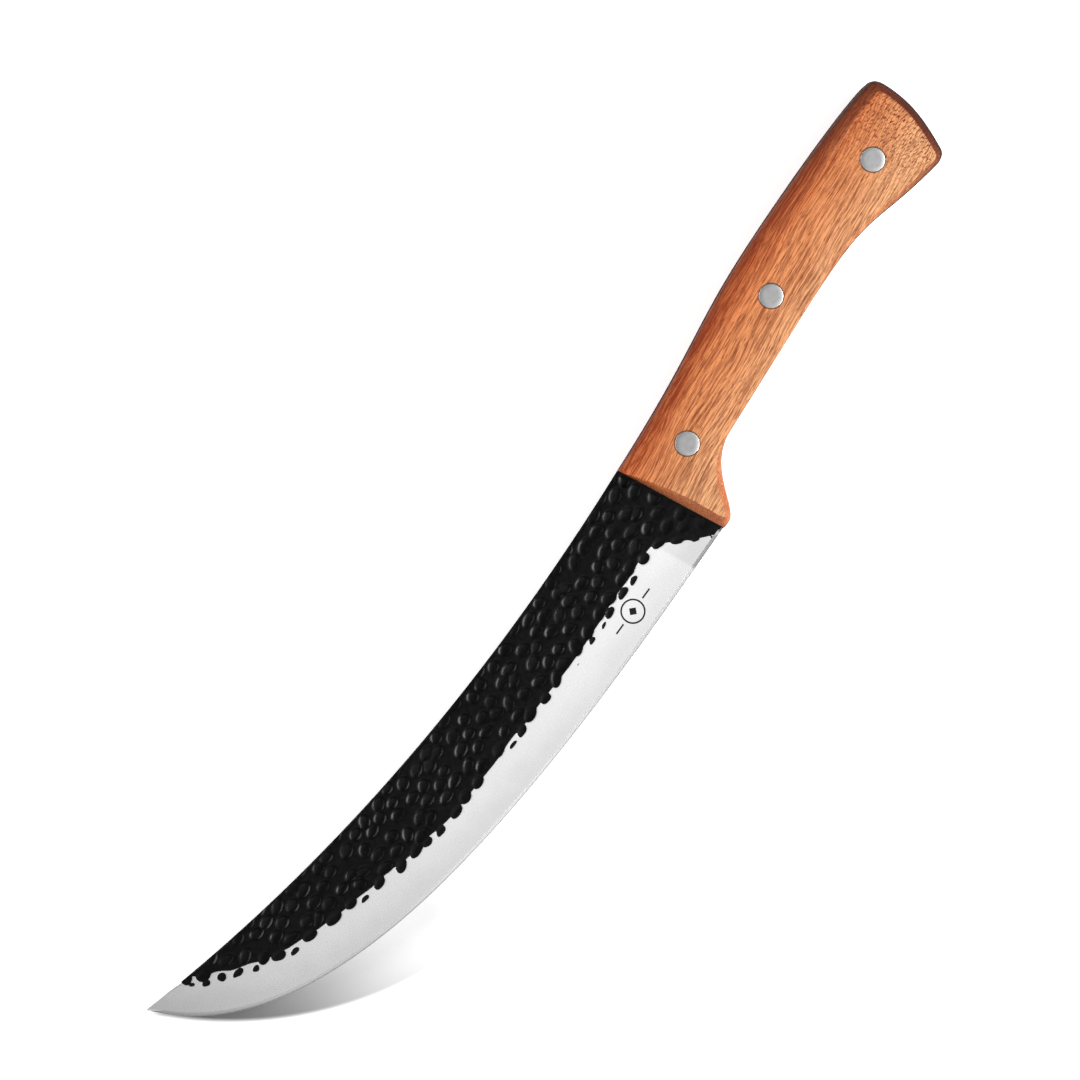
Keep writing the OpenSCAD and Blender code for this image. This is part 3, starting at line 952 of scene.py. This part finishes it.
def turned(name, centre, profile):
    """A turned part: the profile's radii and heights, from axis to axis, swept once round."""
    inner = profile[1:-1]
    points = [[centre[0], centre[1], profile[0][1]], [centre[0], centre[1], profile[-1][1]]]
    for radius, z in inner:
        points += circle(centre, radius, z, TURN_POINTS).tolist()
    faces = skin_faces(len(inner), TURN_POINTS, 2)
    last = 2 + (len(inner) - 1) * TURN_POINTS
    for i in range(TURN_POINTS):
        beside = (i + 1) % TURN_POINTS
        faces.append([0, 2 + i, 2 + beside])
        faces.append([1, last + i, last + beside])
    return make_piece(name, points, faces, TURN_CRISP)


def head_edge(face, inward):
    """The eased rim of a head, from its face to its side."""
    rim = []
    for step in range(HEAD_STEPS + 1):
        angle = step * math.pi / 2 / HEAD_STEPS
        radius = HEAD_R - HEAD_EASE * (1 - math.sin(angle))
        rim.append((radius, face + inward * HEAD_EASE * (1 - math.cos(angle))))
    return rim


NICKEL = grey(0.47)
NICKEL_SHADE = grey(0.42)
NICKEL_ROUGH = 0.34
SANDING_DEEP = 0.002

nickel = Finish("satin_nickel_silver")
sanded_along = nickel.vector(nickel.x * 0.6, nickel.y * 9.0, nickel.z)
sanded = nickel.noise(sanded_along, 1.0, 3.0) - 0.5
dull = nickel.noise(nickel.here, 0.5, 2.0)
nickel.surface(
    Base_Color=nickel.blend(dull.between(0.35, 0.7), NICKEL, NICKEL_SHADE),
    Metallic=1.0,
    Roughness=NICKEL_ROUGH + sanded * 0.12,
    Normal=nickel.bump(sanded * SANDING_DEEP),
)

# Both halves as radii and heights: the head's face and rim, then the shank.
head_under = FACE - HEAD_T
shank_end = head_under - END_GAP
sleeve_profile = [(0, FACE), (HEAD_FLAT_R, FACE)] + head_edge(FACE, -1) + [
    (HEAD_R, head_under),
    (SLEEVE_R, head_under),
    (SLEEVE_R, END_CHAMFER - shank_end),
    (SLEEVE_R - END_CHAMFER, -shank_end),
    (BORE_R, -shank_end),
    (BORE_R, head_under),
    (0, head_under),
]
post_profile = [(0, -FACE), (HEAD_FLAT_R, -FACE)] + head_edge(-FACE, 1) + [
    (HEAD_R, -head_under),
    (POST_R, -head_under),
    (POST_R, shank_end - END_CHAMFER),
    (POST_R - END_CHAMFER, shank_end),
    (0, shank_end),
]

for name in RIVETS:
    for half, profile in (("sleeve", sleeve_profile), ("post", post_profile)):
        rivet = turned(name + "_" + half + "_turned", rivet_centre(name), profile)
        rivet.data.materials.append(nickel.material)
        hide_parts(name + "_" + half)
        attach(rivet, "root")

# ---- Table, lights and camera ----
# The knife lies on its right scale on a plain white table, and is seen from
# straight above, with its handle up to the right. Two soft boxes light it from
# the belly side and one from the spine side, in a softly lit white room.

TABLE_HALF = 4.0
TABLE_WHITE = grey(0.93)
TABLE_ROUGH = 0.7
TABLE_GLOSS = 0.2
TABLE_GLOW = 0.55

# The tip's soft shadow is painted on the table as a crescent: inside one circle and outside another,
# each given by its middle and radius. Along x it pales from the tip and ends.
SHADOW = grey(0.025)
SHADOW_OUTSIDE = (-105.2, 89.0, 127.0)
SHADOW_INSIDE = (-116.5, 160.0, 154.5)
SHADOW_SOFT = 3.0
SHADOW_DEEP = 0.93
SHADOW_LOSS = 0.42
SHADOW_PALER = (-214, -154)
SHADOW_GONE = (-120, -150)

LAMP_AWAY = 1.6
ROOM_LIGHT = 0.28
VIEW_AT = (0.0062, 0.0102)
VIEW_TURN = math.radians(-58)
LENS = 200
SENSOR = 36
FRAME_W = 0.3375

table_mesh = bpy.data.meshes.new("table")
corners = [(x * TABLE_HALF, y * TABLE_HALF, 0) for x, y in ((-1, -1), (1, -1), (1, 1), (-1, 1))]
table_mesh.from_pydata(corners, [], [(0, 1, 2, 3)])
table = bpy.data.objects.new("table", table_mesh)
bpy.context.scene.collection.objects.link(table)
paper = Finish("white_table")


def beyond(x, y, radius):
    """How far a place on the table lies outside a circle."""
    return paper.distance(x, y) - radius


within = beyond(*SHADOW_OUTSIDE).between(0.0, -SHADOW_SOFT)
without = beyond(*SHADOW_INSIDE).between(0.0, SHADOW_SOFT)
to_butt, _ = paper.off(0, 0)
fading = (SHADOW_DEEP - to_butt.between(*SHADOW_PALER) * SHADOW_LOSS) * to_butt.between(*SHADOW_GONE)
# The painted shadow darkens the table's colour and turns off its glow.
shade = within * without * fading
paper.surface(
    Base_Color=paper.blend(shade, TABLE_WHITE, SHADOW),
    Roughness=TABLE_ROUGH,
    Specular_IOR_Level=TABLE_GLOSS,
    Emission_Color=paper.blend(shade, grey(1.0), grey(0.0)),
    Emission_Strength=TABLE_GLOW,
)
table.data.materials.append(paper.material)


def soft_box(name, toward, from_zenith, size, power):
    """A rectangular light that faces the knife, from a direction over the table in degrees."""
    heading = math.radians(toward)
    tilt = math.radians(from_zenith)
    away = Vector((
        math.sin(tilt) * math.cos(heading),
        math.sin(tilt) * math.sin(heading),
        math.cos(tilt),
    ))
    lamp = bpy.data.lights.new(name, "AREA")
    lamp.shape = "RECTANGLE"
    lamp.size = size[0]
    lamp.size_y = size[1]
    lamp.energy = power
    box = bpy.data.objects.new(name, lamp)
    box.location = away * LAMP_AWAY
    box.rotation_euler = away.to_track_quat("Z", "Y").to_euler()
    bpy.context.scene.collection.objects.link(box)


soft_box("belly_side_box", -95, 12, (1.3, 0.5), 1.45)
soft_box("belly_side_bank", -58, 40, (1.4, 0.6), 42)
soft_box("spine_side_strip", 110, 44, (1.2, 0.3), 11)

# The room lights the knife softly, and shows as a white backdrop.
studio = bpy.data.worlds.new("studio")
studio.use_nodes = True
walls = Nodes(studio.node_tree)
room = walls.node("ShaderNodeBackground", values={"Color": grey(1.0), "Strength": ROOM_LIGHT})
backdrop = walls.node("ShaderNodeBackground", values={"Color": grey(1.0)})
seen = walls.node("ShaderNodeLightPath", output="Is Camera Ray")
either = walls.node("ShaderNodeMixShader", values={0: seen, 1: room, 2: backdrop})
walls.tree.links.new(either.socket, walls.tree.nodes["World Output"].inputs[0])
bpy.context.scene.world = studio
bpy.context.scene.view_settings.view_transform = "Standard"

camera_data = bpy.data.cameras.new("camera")
camera_data.lens = LENS
camera_data.sensor_width = SENSOR
camera = bpy.data.objects.new("camera", camera_data)
camera.location = (*VIEW_AT, blade_high.z + FRAME_W * LENS / SENSOR)
camera.rotation_euler = (0, 0, VIEW_TURN)
bpy.context.scene.collection.objects.link(camera)
bpy.context.scene.camera = camera
